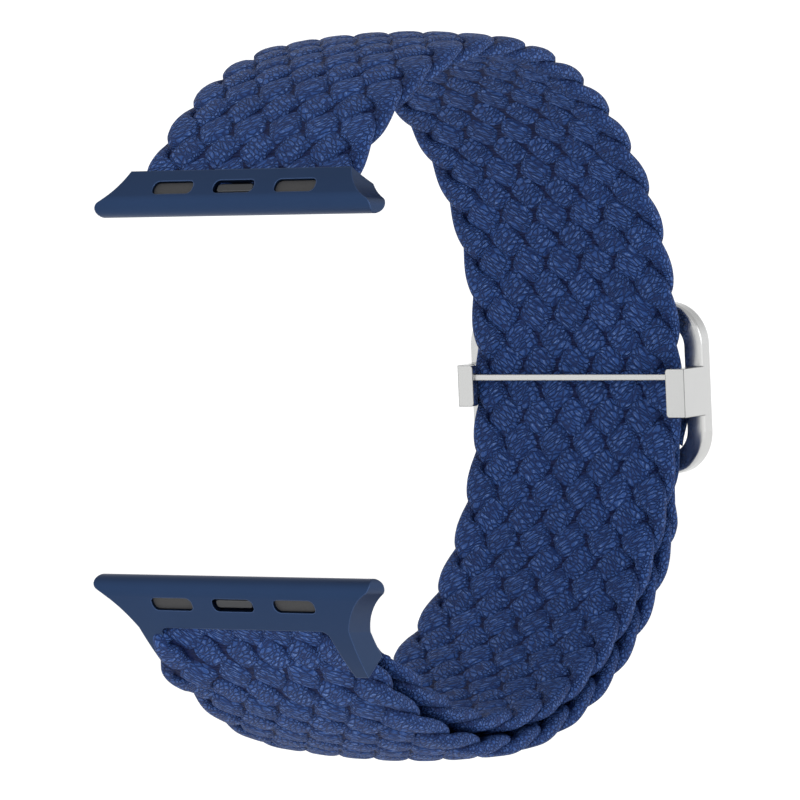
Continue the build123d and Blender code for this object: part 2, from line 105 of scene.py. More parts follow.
side_step = (picture_width_px / 2 - aim_px[0]) / pixels_per_mm * MM
down_step = (picture_width_px / 2 - aim_px[1]) / pixels_per_mm * MM
camera_data = bpy.data.cameras.new("photograph_view")
camera_data.sensor_width = sensor_width_mm
camera_data.lens = pixels_per_mm * camera_distance / MM / picture_width_px * sensor_width_mm
camera_data.clip_start = nearest_shown
camera_data.clip_end = farthest_shown
camera = bpy.data.objects.new("photograph_view", camera_data)
bpy.context.scene.collection.objects.link(camera)
camera_place = aim - look * camera_distance + right * side_step - up * down_step
camera_axes = Matrix((right, up, -look)).transposed().to_4x4()
camera.matrix_world = Matrix.Translation(camera_place) @ camera_axes
bpy.context.scene.camera = camera
print("camera at", [round(value, 3) for value in camera_place], "lens", round(camera_data.lens), "mm")

# %% [markdown]
# ## Colours and nodes
# Colours are written as the hex values that a picture editor shows. Shaders work in linear light, so one
# function turns them over. Another small function adds a shader node, sets it and links its inputs, so a
# material reads as the list of its nodes.


# %% Helpers for materials
def linear(hex_colour):
    """A hex colour as the linear red, green, blue and alpha that shaders use."""
    parts = [int(hex_colour[i : i + 2], 16) / 255 for i in (1, 3, 5)]
    return (*[p / 12.92 if p <= 0.04045 else ((p + 0.055) / 1.055) ** 2.4 for p in parts], 1.0)


def add_node(tree, kind, settings=None, inputs=None):
    """Adds a node, sets its properties, and sets or links its inputs."""
    node = tree.nodes.new(kind)
    for name, value in (settings or {}).items():
        setattr(node, name, value)
    for name, value in (inputs or {}).items():
        if isinstance(value, bpy.types.NodeSocket):
            tree.links.new(value, node.inputs[name])
        else:
            node.inputs[name].default_value = value
    return node


def new_material(name):
    """An empty node material with its output, ready for a shader."""
    material = bpy.data.materials.new(name)
    material.use_nodes = True
    material.node_tree.nodes.clear()
    output = add_node(material.node_tree, "ShaderNodeOutputMaterial")
    return material, material.node_tree, output


def set_material(piece, material):
    """Gives a piece one material and no other."""
    piece.data.materials.clear()
    piece.data.materials.append(material)


# A Mix node in colour mode takes its two colours at these inputs and gives the result at this output.
MIX_FROM, MIX_TO, MIX_RESULT = 6, 7, 2
print("the hex grey #808080 is", round(linear("#808080")[0], 3), "in linear light")

# %% [markdown]
# ## Crimped yarn
# Each strand is a soft cord knitted from crimped polyester yarn over rubber threads. When the rubber pulls
# back, the cover puckers into small cells. To the eye that is a matte blue with fine dark creases and small
# pale highlights, and nearly black where two strands press together.
# The cells could be modelled, but there are tens of thousands of them, each a third of a millimetre, so a
# Voronoi pattern draws them as bump and as colour, with painted shade in the creases and painted highlights
# on the tops. The strands carry their own coordinates in millimetres, along and around the cord, so the
# cells keep their real size however the strand bends.

# %% The yarn's relief, in millimetres
pucker_length_mm = 0.33
pucker_width_mm = 0.50
# A filament is about 0.02 mm thick and would not show, so tufts of filaments are drawn instead.
tuft_mm = 0.13
wander_mm = 0.625
wander_reach_mm = 0.4
crease_share = 0.22
tuft_share = 0.6


def yarn_relief(tree):
    """Puckered cells with tufts on them: how far each point is out of a crease, and the whole relief."""
    place = add_node(tree, "ShaderNodeUVMap", {"uv_map": "strand_mm"})
    wander = add_node(
        tree,
        "ShaderNodeTexNoise",
        inputs={"Vector": place.outputs[0], "Scale": 1 / wander_mm, "Detail": 2.0},
    )
    drift = add_node(
        tree,
        "ShaderNodeVectorMath",
        {"operation": "SCALE"},
        {0: wander.outputs["Color"], "Scale": wander_reach_mm},
    )
    bent = add_node(
        tree,
        "ShaderNodeVectorMath",
        {"operation": "ADD"},
        {0: place.outputs[0], 1: drift.outputs[0]},
    )
    cells = add_node(
        tree,
        "ShaderNodeMapping",
        inputs={"Vector": bent.outputs[0], "Scale": (1 / pucker_length_mm, 1 / pucker_width_mm, 1)},
    )
    pucker = add_node(
        tree,
        "ShaderNodeTexVoronoi",
        {"feature": "DISTANCE_TO_EDGE"},
        {"Vector": cells.outputs[0], "Scale": 1.0},
    )
    tuft = add_node(
        tree,
        "ShaderNodeTexNoise",
        inputs={"Vector": bent.outputs[0], "Scale": 1 / tuft_mm, "Detail": 2.0},
    )
    crown = add_node(
        tree,
        "ShaderNodeMapRange",
        {"interpolation_type": "SMOOTHSTEP"},
        {"Value": pucker.outputs["Distance"], "From Min": 0.0, "From Max": crease_share},
    )
    relief = add_node(
        tree,
        "ShaderNodeMath",
        {"operation": "MULTIPLY_ADD"},
        {0: tuft.outputs["Fac"], 1: tuft_share, 2: crown.outputs["Result"]},
    )
    return crown.outputs["Result"], relief.outputs[0]


print("yarn puckers", pucker_length_mm, "by", pucker_width_mm, "mm")

# %% [markdown]
# The colour follows the relief, with painted shade and painted highlights in it. Creases are painted dark
# towards the gap's near black, a painted shade, and the tops of the tufts get a painted highlight of paler
# blue. Two attributes of the mesh take part. Lift tells how far a point stands out of the braid: deep down
# between the strands both the blue and the painted highlights fade to that painted shade. Tone makes one
# strand a little lighter or darker than the next, as bobbins of yarn are. Solid polyester has an IOR of
# about 1.57, but the air among its fibres makes the cover duller, so an IOR of 1.45, a roughness of 0.6 and
# a low specular level match it.

# %% The yarn's colour
yarn_blue = "#2B4C8A"
# The pale blue is a painted highlight and the near black a painted shade.
yarn_painted_highlight = "#84A0D6"
yarn_painted_shade = "#071642"
lift_range = (0.22, 0.9)
# How dark the painted shade in the creases gets, and where the painted highlights on the tops begin.
crease_painted_shade = {"From Max": 0.6, "To Min": 0.22, "To Max": 1.0}
painted_highlight_tops = {"From Min": 1.30, "From Max": 1.50, "To Max": 0.8}


def make_yarn_material(name, pucker_depth_mm):
    """Knitted cord with a puckered cover; the strands' own millimetres set the scale."""
    material, tree, output = new_material(name)
    crown, relief = yarn_relief(tree)
    lift = add_node(tree, "ShaderNodeAttribute", {"attribute_name": "lift"})
    tone = add_node(tree, "ShaderNodeAttribute", {"attribute_name": "tone"})
    bump = add_node(
        tree,
        "ShaderNodeBump",
        inputs={"Height": relief, "Strength": 1.0, "Distance": pucker_depth_mm * MM},
    )
    # Painted shade: where lift is low, deep between the strands, the colour fades to near black.
    clear_of_painted_shade = add_node(
        tree,
        "ShaderNodeMapRange",
        {"interpolation_type": "SMOOTHSTEP"},
        {"Value": lift.outputs["Fac"], "From Min": lift_range[0], "From Max": lift_range[1]},
    )
    # Painted shade in the cells' creases.
    crease_darkening = add_node(tree, "ShaderNodeMapRange", inputs={"Value": crown, **crease_painted_shade})
    shown = add_node(
        tree,
        "ShaderNodeMath",
        {"operation": "MULTIPLY"},
        {0: crease_darkening.outputs["Result"], 1: clear_of_painted_shade.outputs["Result"]},
    )
    body = add_node(
        tree,
        "ShaderNodeMix",
        {"data_type": "RGBA"},
        {0: shown.outputs[0], MIX_FROM: linear(yarn_painted_shade), MIX_TO: linear(yarn_blue)},
    )
    # Painted highlight on the tops of the tufts.
    painted_highlight_spots = add_node(tree, "ShaderNodeMapRange", inputs={"Value": relief, **painted_highlight_tops})
    exposed = add_node(
        tree,
        "ShaderNodeMath",
        {"operation": "MULTIPLY"},
        {0: painted_highlight_spots.outputs["Result"], 1: clear_of_painted_shade.outputs["Result"]},
    )
    puckered = add_node(
        tree,
        "ShaderNodeMix",
        {"data_type": "RGBA"},
        {0: exposed.outputs[0], MIX_FROM: body.outputs[MIX_RESULT], MIX_TO: linear(yarn_painted_highlight)},
    )
    toned = add_node(
        tree,
        "ShaderNodeHueSaturation",
        inputs={"Value": tone.outputs["Fac"], "Color": puckered.outputs[MIX_RESULT]},
    )
    shader = add_node(
        tree,
        "ShaderNodeBsdfPrincipled",
        inputs={
            "Base Color": toned.outputs[0],
            "Roughness": 0.6,
            "IOR": 1.45,
            "Specular IOR Level": 0.22,
            "Normal": bump.outputs[0],
        },
    )
    tree.links.new(shader.outputs[0], output.inputs["Surface"])
    return material


braid_yarn = make_yarn_material("crimped_polyester_yarn", pucker_depth_mm=0.14)
print("yarn nodes:", len(braid_yarn.node_tree.nodes))

# %% [markdown]
# ## The braid's centre lines
# A strap runs along arcs that touch smoothly. The upper one follows a front arc from its connector, the
# loop's own circle past the buckle, and a tighter arc where the tail tucks in. The lower one starts as a
# fold round the buckle's rear bar, runs down inside the ring and joins the loop's outer circle.
# A curve object could hold such a line, but the strands need exact distances along it, so it is kept as
# close-set points. The driving sizes are those of the CAD model. Places are (back, up) from the loop's
# centre, and clock angles count from 0 at the top through 90 at the back.

# %% Driving sizes of the loop, in millimetres
half_width = 12.2
half_thickness = 1.05
layer_gap = 0.15
loop_centre = (26.15, 1.3)
loop_radius = 32.7
lower_radius = loop_radius + 2 * half_thickness + layer_gap
upper_mouth = (-24.44, 19.29)
lower_mouth = (-23.56, -22.49)
upper_bend = 30
lower_bend = 150
tail_tuck = 0.5
tail_end_depth = 16.9
tail_tip_length = 2.6


def on_circle(centre, radius, clock):
    """Places on a circle at the given clock angles."""
    turn = np.radians(clock)
    return np.stack([centre[0] + radius * np.sin(turn), centre[1] + radius * np.cos(turn)], axis=-1)


def clock_of(centre, point):
    """The clock angle at which a place is seen from a centre."""
    return math.degrees(math.atan2(point[0] - centre[0], point[1] - centre[1]))


def tight_arc(radius, bend_clock, point):
    """Centre and radius of the arc that leaves the loop's circle at a clock angle and meets a point."""
    along = (math.sin(math.radians(bend_clock)), math.cos(math.radians(bend_clock)))
    reach = point[0] * along[0] + point[1] * along[1]
    shift = (radius**2 - point[0] ** 2 - point[1] ** 2) / (2 * (radius - reach))
    return (shift * along[0], shift * along[1]), radius - shift


upper_centre, upper_radius = tight_arc(loop_radius, upper_bend, upper_mouth)
lower_centre, lower_front_radius = tight_arc(lower_radius, lower_bend, lower_mouth)
upper_mouth_clock = clock_of(upper_centre, upper_mouth)
lower_mouth_clock = clock_of(lower_centre, lower_mouth) + 360
tail_shift = lower_radius - lower_front_radius + tail_tuck
tail_centre = tuple(on_circle((0, 0), tail_shift, lower_bend))
tail_radius = loop_radius - tail_shift
tail_end_clock = 180 + math.degrees(math.asin((tail_centre[0] + tail_end_depth) / tail_radius))
print("upper arc", round(upper_radius, 2), "mm, tail arc", round(tail_radius, 2), "mm in radius")
print("the tail ends at clock angle", round(tail_end_clock, 1))

# %% Centre lines
step_mm = 0.05
closest_step_mm = 0.2 * step_mm
smoothing_points = 9
# How far the braid runs on inside the connector, in degrees of its arc.
upper_root_turn = 2.0


def arc(centre, radius, start_clock, end_clock):
    """Close-set points on an arc."""
    steps = int(abs(end_clock - start_clock) * math.pi / 180 * radius / step_mm) + 2
    return on_circle(centre, radius, np.linspace(start_clock, end_clock, steps))


def centre_line(*runs):
    """One line from its runs: the distance along it, its places, and its outward normals."""
    points = np.concatenate(runs)
    keep = np.r_[True, np.linalg.norm(np.diff(points, axis=0), axis=1) > closest_step_mm]
    points = points[keep]
    along = np.r_[0, np.cumsum(np.linalg.norm(np.diff(points, axis=0), axis=1))]
    heading = np.gradient(points, along, axis=0)
    smooth = np.ones(smoothing_points) / smoothing_points
    for column in (0, 1):
        padded = np.pad(heading[:, column], smoothing_points // 2, mode="edge")
        heading[:, column] = np.convolve(padded, smooth, mode="valid")
    heading /= np.linalg.norm(heading, axis=1)[:, None]
    normals = np.stack([-heading[:, 1], heading[:, 0]], axis=-1)
    return {"along": along, "point": points, "normal": normals, "length": along[-1]}


upper_line = centre_line(
    arc(upper_centre, upper_radius, upper_mouth_clock - upper_root_turn, upper_bend),
    arc((0, 0), loop_radius, upper_bend, lower_bend),
    arc(tail_centre, tail_radius, lower_bend, tail_end_clock),
)
print("upper braid", round(upper_line["length"], 1), "mm long")

# %% [markdown]
# The lower braid's end is folded back round the rear bar and sewn down. There the braid is pulled to a
# third of its thickness so that three layers pass inside the ring, and it swells to its full thickness
# below. Its inner face keeps one radius all the way, because the upper braid slides along it.

# %% The lower braid's folded end
bar_centre = (35.2, -0.9)
bar_clock = clock_of((0, 0), bar_centre)
fold_thickness = 0.72
fold_middle_radius = 0.925
fold_return = 3.9
fold_gap = 0.03
swell_clocks = (98.4, 100.4, 104.1, 107.3, 112.0)
swell_thickness = (fold_thickness, 0.88, 1.2, 1.6, 2 * half_thickness)
inside_ring_points = 1800
return_points = 90
lower_root_turn = 2.2


def lower_radius_at(clock):
    """The radius of the lower braid's middle, which moves out as the braid swells."""
    inner_face = lower_radius - half_thickness
    return inner_face + np.interp(clock, swell_clocks, swell_thickness) / 2


# The return lies outside the braid, so its middle is one and a half thicknesses from the inner face.
outer_leg = lower_radius - half_thickness + 1.5 * fold_thickness + fold_gap
return_low = bar_centre[1] - fold_return
return_foot = (math.sqrt(outer_leg**2 - return_low**2), return_low)
return_top = (bar_centre[0] + fold_middle_radius, bar_centre[1])
share = np.linspace(0, 1, return_points)
ease = share**2 * (3 - 2 * share)
return_leg = np.stack(
    [return_foot[0] + (return_top[0] - return_foot[0]) * ease, return_foot[1] + fold_return * share],
    axis=-1,
)
inside_ring = np.linspace(bar_clock, lower_bend, inside_ring_points)
lower_line = centre_line(
    return_leg,
    arc(bar_centre, fold_middle_radius, 90, -90),
    on_circle((0, 0), lower_radius_at(inside_ring), inside_ring),
    arc(lower_centre, lower_front_radius, lower_bend, lower_mouth_clock),
    arc(lower_centre, lower_front_radius, lower_mouth_clock, lower_mouth_clock + lower_root_turn),
)
fold_length = fold_return + math.pi * fold_middle_radius
print("lower braid", round(lower_line["length"], 1), "mm long, fold", round(fold_length, 1), "mm")

# %% [markdown]
# ## Plaiting the strands
# Twelve strands take turns: each one crosses the strap slantwise, goes over one neighbour and under the
# next, turns round at the rim and comes back. One strand could be modelled and copied, but a copy can't
# follow a curved strap with a changing width, so every strand is worked out as a path on the strap's centre
# line. Its section is a squarish oval, wide and flat, because soft cords that are pulled tight fill the
# room they have. Where two strands cross, one rises and the other sinks, and they press into each other a
# little, so only thin dark creases stay between them.

# %% Plait sizes
# Lengths in millimetres.
strand_count = 12
column_spacing = 2.07
pitch = 5.35
strand_half_width = 1.80
rim_strand = 0.95
strand_step = 0.16
repeat = strand_count * pitch
swing = strand_count * column_spacing / 2
# Heights as shares of the strap's thickness.
cross_height = 0.215
strand_height = 0.28
rim_height = 0.35
# How sharply a strand turns at the rim, how long it stays up, and how far a leaf is straightened.
turn_sharpness = 0.98907
plateau = 1.25
straighten = 0.06
strand_smoothing = 2
peak = 2 * swing / math.pi * math.asin(turn_sharpness)
print("a strand comes back to its side every", round(repeat, 1), "mm")


# %% A strand's path
def smooth_column(values, width):
    """Values smoothed over a few neighbours, with the ends kept."""
    padded = np.pad(values, width, mode="edge")
    kernel = np.hanning(2 * width + 3)[1:-1]
    return np.convolve(padded, kernel / kernel.sum(), mode="valid")


def strand_wave(theta):
    """For a strand at phase theta: its height, from -1 to 1, how much it is at a rim, and its crossing."""
    crossing = (strand_count * (0.5 + theta / math.pi)) % (2 * strand_count)
    rightward = crossing <= strand_count
    height = np.where(rightward, np.cos(math.pi * crossing), -np.cos(math.pi * crossing))
    from_left = (crossing + strand_count) % (2 * strand_count) - strand_count
    from_right = crossing - strand_count
    height = np.where(np.abs(from_left) < 1, -np.sin(math.pi * from_left / 2), height)
    height = np.where(np.abs(from_right) < 1, np.sin(math.pi * from_right / 2), height)
    rim = np.maximum(
        np.where(np.abs(from_left) < 1, np.cos(math.pi * from_left / 2) ** 2, 0),
        np.where(np.abs(from_right) < 1, np.cos(math.pi * from_right / 2) ** 2, 0),
    )
    return height, rim, crossing


def strand_path(line, index, phase):
    """One strand on the flat strap: its places along and across, its height, and how much it is at a rim."""
    along = np.arange(0, line["length"], strand_step)
    theta = 2 * math.pi * (along / repeat + (index + phase) / strand_count)
    theta = (theta + math.pi) % (2 * math.pi) - math.pi
    across = 2 * swing / math.pi * np.arcsin(turn_sharpness * np.sin(theta))
    height, rim, crossing = strand_wave(theta)
    height = np.sin(math.pi / 2 * np.clip(plateau * height, -1, 1)) * (1 - rim) + height * rim
    height = smooth_column(height, strand_smoothing)
    wave = np.sin(2 * math.pi * crossing) / (2 * math.pi) * column_spacing * (1 - rim)
    across = across + wave * np.where(crossing <= strand_count, -straighten, straighten)
    return along, across, height, rim


print("a strand has", len(strand_path(upper_line, 0, 0)[0]), "rings on the upper braid")

# %% [markdown]
# The flat plait is then laid on its centre line. Each braid has a shape: five functions that give its half
# width, its thickness, its crown, which is how far its middle bows out, its lean to one side, and its
# drape, which is how it lies over something near one end.

# %% Laying a point on the strap
bow_smoothing = 12


def bowed(line, shape, along, across):
    """Where a point of the strap lies once its middle is bowed, and the strap's outward normal there."""
    middle = np.stack([np.interp(along, line["along"], line["point"][:, k]) for k in (0, 1)], axis=-1)
    normal = np.stack([np.interp(along, line["along"], line["normal"][:, k]) for k in (0, 1)], axis=-1)
    normal /= np.linalg.norm(normal, axis=1)[:, None]
    clock = (np.degrees(np.arctan2(middle[:, 0], middle[:, 1])) + 90) % 360 - 90
    crown = smooth_column(shape["crown"](clock), bow_smoothing)
    lean = smooth_column(shape["lean"](clock), bow_smoothing)
    spread, raised = shape["drape"](along, across)
    bow = crown * (1 - (across / half_width) ** 2) + raised
    place = np.stack(
        [
            spread + lean,
            loop_centre[0] + middle[:, 0] + bow * normal[:, 0],
            loop_centre[1] + middle[:, 1] + bow * normal[:, 1],
        ],
        axis=-1,
    )
    fall = 2 * crown * across / half_width**2
    face = np.stack([fall, normal[:, 0], normal[:, 1]], axis=-1)
    face /= np.linalg.norm(face, axis=1)[:, None]
    return place, face


print("the loop's centre lies", loop_centre[0], "mm behind the watch case's middle")

# %% [markdown]
# A strand's tube gets a ring of points at every step. On the inside of a tight turn the rings would run
# into each other, so there each ring is drawn in by what the bend allows. The tube also notes its lift:
# 1 where it stands on the braid's face or at its rim, and 0 in the braid's middle, where the yarn's colour
# paints shade.

# %% A strand and the core as rings of points
section_sides = 20
strand_squareness = 0.74
core_squareness = 0.5
core_share = 0.66
# The core's low lift gives it the yarn's near-black painted shade.
core_shade_lift = 0.3
core_inset = 0.35
core_step = 4 * strand_step
# A strand's lift rises towards the rim, which clears the painted shade there: where it starts, and over how
# many millimetres.
rim_light_from = 1.1
rim_light_over = 0.9
# The marks around a strand, as if each were 1 mm in radius.
girth_mm = 2 * math.pi * np.arange(section_sides + 1) / section_sides


def squarish_oval(squareness):
    """A section's outline, sideways and upwards: a circle at 1, and squarer below."""
    angle = 2 * math.pi * np.arange(section_sides) / section_sides
    return [np.sign(wave) * np.abs(wave) ** squareness for wave in (np.cos(angle), np.sin(angle))]


def strand_rings(line, shape, index, phase):
    """One strand as rings of points in millimetres, with its lift and the distance along it."""
    along, across, height, rim = strand_path(line, index, phase)
    width_here = shape["half_width"](along)
    thickness = shape["thickness"](along)
    across = across * (width_here - rim_strand) / peak
    place, face = bowed(line, shape, along, across)
    rise = cross_height * thickness * height
    centre = place + rise[:, None] * face
    heading = np.gradient(centre, axis=0)
    heading /= np.linalg.norm(heading, axis=1)[:, None]
    side = np.cross(heading, face)
    side /= np.linalg.norm(side, axis=1)[:, None]
    face = np.cross(side, heading)
    travel = np.linalg.norm(np.gradient(centre, axis=0), axis=1)
    bend = np.sum(np.gradient(heading, axis=0) * side, axis=1) / travel
    bend = smooth_column(bend, strand_smoothing)
    half_wide = strand_half_width * (1 - rim) + rim_strand * rim
    half_high = thickness * (strand_height * (1 - rim) + rim_height * rim)
    oval_across, oval_up = squarish_oval(strand_squareness)
    offset_side = half_wide[:, None] * oval_across
    offset_side = offset_side / (1 + np.maximum(0, bend[:, None] * offset_side))
    offset_up = half_high[:, None] * oval_up
    rings = (
        centre[:, None, :]
        + side[:, None, :] * offset_side[:, :, None]
        + face[:, None, :] * offset_up[:, :, None]
    )
    stands_up = np.abs(rise[:, None] + offset_up) / (thickness[:, None] / 2)
    reach = np.abs(across[:, None] + side[:, None, 0] * offset_side)
    stands_out = (reach - width_here[:, None] + rim_light_from) / rim_light_over
    lift = np.clip(np.maximum(stands_up, stands_out), 0, 1)
    length = np.r_[0, np.cumsum(np.linalg.norm(np.diff(centre, axis=0), axis=1))]
    return rings, lift, length


def core_rings(line, shape):
    """The rubber threads in the braid's middle, one flat packing that closes the pinholes, dark with painted
    shade.
    """
    along = np.arange(0, line["length"], core_step)
    oval_across, oval_up = squarish_oval(core_squareness)
    rings = np.zeros((len(along), section_sides, 3))
    for column in range(section_sides):
        across = oval_across[column] * (shape["half_width"](along) - rim_strand - core_inset)
        place, face = bowed(line, shape, along, across)
        rise = oval_up[column] * core_share * shape["thickness"](along) / 2
        rings[:, column] = place + rise[:, None] * face
    return rings, np.full(rings.shape[:2], core_shade_lift), along


print("each ring has", section_sides, "points")

# %% [markdown]
# The tubes become one mesh. A mesh of this size is filled fastest from whole arrays, so the faces of every
# tube are worked out with array arithmetic and handed to Blender at once. Every corner also keeps its
# millimetres along and around its strand, and each strand starts at another place of the pattern, so that
# neighbours never show the same puckers.

# %% Turning tubes into one mesh
strand_tones = (0.93, 1.06)
core_tone = 1.0
pattern_shift_mm = 7.3


def tube_faces(rings, length):
    """A tube's four-sided faces, and each corner's millimetres along and around it."""
    count, sides = rings.shape[:2]
    i, j = np.meshgrid(np.arange(count - 1), np.arange(sides), indexing="ij")
    after = (j + 1) % sides
    quads = [i * sides + j, (i + 1) * sides + j, (i + 1) * sides + after, i * sides + after]
    marks = [
        np.stack([length[i + ahead], girth_mm[j + beside]], axis=-1)
        for ahead, beside in ((0, 0), (1, 0), (1, 1), (0, 1))
    ]
    return np.stack(quads, axis=-1).reshape(-1, 4), np.stack(marks, axis=2).reshape(-1, 2)


def mesh_of_tubes(name, tubes, tones):
    """One mesh of closed tubes, which keeps their millimetres, lift and tone."""
    corners, quads, caps, marks, lifts, tone_values = [], [], [], [], [], []
    start = 0
    for index, (rings, lift, length) in enumerate(tubes):
        faces, places = tube_faces(rings, length + pattern_shift_mm * index)
        first_ring = start + np.arange(section_sides)
        last_ring = first_ring + lift.size - section_sides
        corners.append(rings.reshape(-1, 3))
        quads.append(start + faces)
        caps += [first_ring, last_ring[::-1]]
        marks.append(places)
        lifts.append(lift.reshape(-1))
        tone_values.append(np.full(lift.size, tones[index]))
        start += lift.size
    quads, marks = np.concatenate(quads), np.concatenate(marks)
    sizes = np.r_[np.full(len(quads), 4), np.full(len(caps), section_sides)]
    mesh = bpy.data.meshes.new(name)
    mesh.vertices.add(start)
    mesh.vertices.foreach_set("co", (np.concatenate(corners) * MM).ravel())
    mesh.loops.add(int(sizes.sum()))
    mesh.loops.foreach_set("vertex_index", np.r_[quads.ravel(), np.concatenate(caps)].astype(np.int32))
    mesh.polygons.add(len(sizes))
    mesh.polygons.foreach_set("loop_start", np.r_[0, np.cumsum(sizes)[:-1]].astype(np.int32))
    mesh.polygons.foreach_set("use_smooth", np.ones(len(sizes), dtype=bool))
    mesh.update(calc_edges=True)
    all_marks = np.zeros((int(sizes.sum()), 2))
    all_marks[: len(marks)] = marks
    mesh.uv_layers.new(name="strand_mm").data.foreach_set("uv", all_marks.ravel())
    mesh.attributes.new("lift", "FLOAT", "POINT").data.foreach_set("value", np.concatenate(lifts))
    mesh.attributes.new("tone", "FLOAT", "POINT").data.foreach_set("value", np.concatenate(tone_values))
    mesh.validate()
    return mesh


def plait(name, line, shape, phase, seed):
    """A braid of strands round a core, as one piece."""
    tones = np.random.default_rng(seed).uniform(*strand_tones, strand_count)
    tubes = [strand_rings(line, shape, index, phase) for index in range(strand_count)]
    tubes.append(core_rings(line, shape))
    piece = bpy.data.objects.new(name, mesh_of_tubes(name, tubes, np.r_[tones, core_tone]))
    bpy.context.scene.collection.objects.link(piece)
    set_material(piece, braid_yarn)
    print(name, "strands", strand_count, "faces", len(piece.data.polygons))
    return piece


print("strand tones from", strand_tones[0], "to", strand_tones[1])

# %% [markdown]
# ## The upper braid
# Elastic pulls the rims of a braid in, so its middle bows out by about a millimetre wherever nothing holds
# it flat. The connectors and the buckle do hold it flat, and so does the stretch that can slide through the
# buckle. The photographed strap also leans a little to one side near its upper end. A lattice could bend
# the finished mesh, but tables keep the measures in sight: they give clock angles or distances along the
# braid, and the measure in millimetres at each.


# %% Upper braid
def profile(stations, values):
    """A measure that runs evenly from station to station."""
    return lambda where: np.interp(where, stations, values)


def lies_flat(along, across):
    """No drape: a point keeps its place across the strap and isn't raised."""
    return across, 0


upper_end = upper_line["length"]
tail_end_half_width = 11.6


def upper_thickness(along):
    """Pressed a little in the connector's mouth, and thinner where the heat-pressed end begins."""
    stations = (0, 1.08, 1.9, 3.2, upper_end - 3.2, upper_end)
    return 2 * half_thickness * np.interp(along, stations, (0.86, 0.88, 0.96, 1, 1, 0.6))


upper_shape = {
    "half_width": profile((0, upper_end - 3, upper_end), (half_width, half_width, tail_end_half_width)),
    "thickness": upper_thickness,
    "crown": profile((-52, -30, 36, 74, 148, 172, 205, 222), (0, 0.9, 0.9, 0, 0, 0.75, 0.8, 0.7)),
    "lean": profile((-52, -20, 30, 80), (0.4, 0.7, 0.6, 0)),
    "drape": lies_flat,
}
upper_braid = plait("upper_braid", upper_line, upper_shape, phase=0.3, seed=3)
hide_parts("upper_strap")
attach(upper_braid, "upper_half")
print("upper braid", round(upper_braid.dimensions.x / MM, 1), "mm wide")

# %% [markdown]
# ## The lower braid
# It is narrower in the fold, where it passes between the ring's sides, and in the connector's mouth, where
# it goes in between two cheeks. In the photograph its right side stays between the cheeks, while its left
# side has swelled out over the left cheek and hides it. So near the mouth the left strands are spread and
# raised, most at the rim and not at all at the middle.

# %% Lower braid
cheek_cover = 0.9
cheek_spread = 0.10
# How far before the mouth the drape begins, is full, begins to end, and ends.
drape_stations = (9, 5.5, 1.9, 0.5)
spread_from, spread_over = 1, 8
raise_from, raise_over = 4.6, 4.4
lower_end = lower_line["length"]
mouth_at = lower_end - math.radians(lower_root_turn) * lower_front_radius


def lower_thickness(along):
    """Thin in the fold, swelling below the ring, and pressed a little in the connector's mouth."""
    swell_at = [fold_length + math.radians(clock - bar_clock) * lower_radius for clock in swell_clocks]
    stations = (0, *swell_at, mouth_at - 2.8, mouth_at - 1.2, lower_end)
    full = 2 * half_thickness
    return np.interp(along, stations, (fold_thickness, *swell_thickness, full, 0.86 * full, 0.84 * full))


def over_left_cheek(along, across):
    """Near the mouth the left side is spread and raised; the raise starts further from the middle."""
    near = np.interp(along, [mouth_at - before for before in drape_stations], (0, 1, 1, 0))
    near = near * near * (3 - 2 * near)
    spread_share = np.clip((-across - spread_from) / spread_over, 0, 1)
    raise_share = np.clip((-across - raise_from) / raise_over, 0, 1)
    return across * (1 + cheek_spread * near * spread_share), cheek_cover * near * raise_share


lower_shape = {
    "half_width": profile(
        (0, fold_length + 11.2, fold_length + 14, mouth_at - 7.6, mouth_at - 5.0, mouth_at - 2, lower_end),
        (11.5, 11.5, half_width, half_width, 11.3, 10.4, 9.8),
    ),
    "thickness": lower_thickness,
    "crown": profile((107, 118, 140, 206, 229), (0, 0.35, 0.9, 0.9, 0)),
    "lean": np.zeros_like,
    "drape": over_left_cheek,
}
lower_braid = plait("lower_braid", lower_line, lower_shape, phase=0.62, seed=8)
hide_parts("lower_strap", "buckle_tab")
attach(lower_braid, "lower_half")
print("lower braid", round(lower_braid.dimensions.x / MM, 1), "mm wide")

# %% [markdown]
# ## The pressed end of the tail
# The cut end of an elastic braid is heat pressed, so the strands melt together into a thin flat tongue that
# still shows their slant. It could be the braid's own mesh, flattened, but the melted strands have lost their
# roundness, so it is one swept slab with a rounded rim and shallow slanting ribs.

# %% Tail end, in millimetres
tail_width = 21.2
tail_thickness = 1.3
tail_bow = 0.7
# The stretch hidden in the braid, in degrees of the tail's arc.
tail_overlap_turn = 1.2
end_rounding = 0.6
rim_rounding = 0.5
rib_height = 0.05
rib_slant = 5
tail_rows = 26
tail_columns = 61
weld_distance = 0.004
tail_turn = math.degrees(tail_tip_length / tail_radius)


def rounded_over(distance, rounding):
    """The share of its height that a slab keeps at a distance from a rounded edge."""
    return math.sqrt(max(0.0, 1 - max(0.0, 1 - distance / rounding) ** 2))


def tail_corner(side, clock, x):
    """One corner of the pressed end's outer (1) or inner (-1) face, in metres."""
    to_end = (tail_end_clock + tail_turn - clock) / tail_turn * tail_tip_length
    rib = rib_height * math.sin(2 * math.pi * (x / column_spacing + side * to_end / rib_slant))
    kept = rounded_over(to_end, end_rounding) * rounded_over(tail_width / 2 - abs(x), rim_rounding)
    high = side * (tail_thickness / 2 + rib - rib_height) * kept
    bow = tail_bow * (1 - (x / half_width) ** 2)
    spot = on_circle(tail_centre, tail_radius + high + bow, clock)
    return (x * MM, (loop_centre[0] + spot[0]) * MM, (loop_centre[1] + spot[1]) * MM)


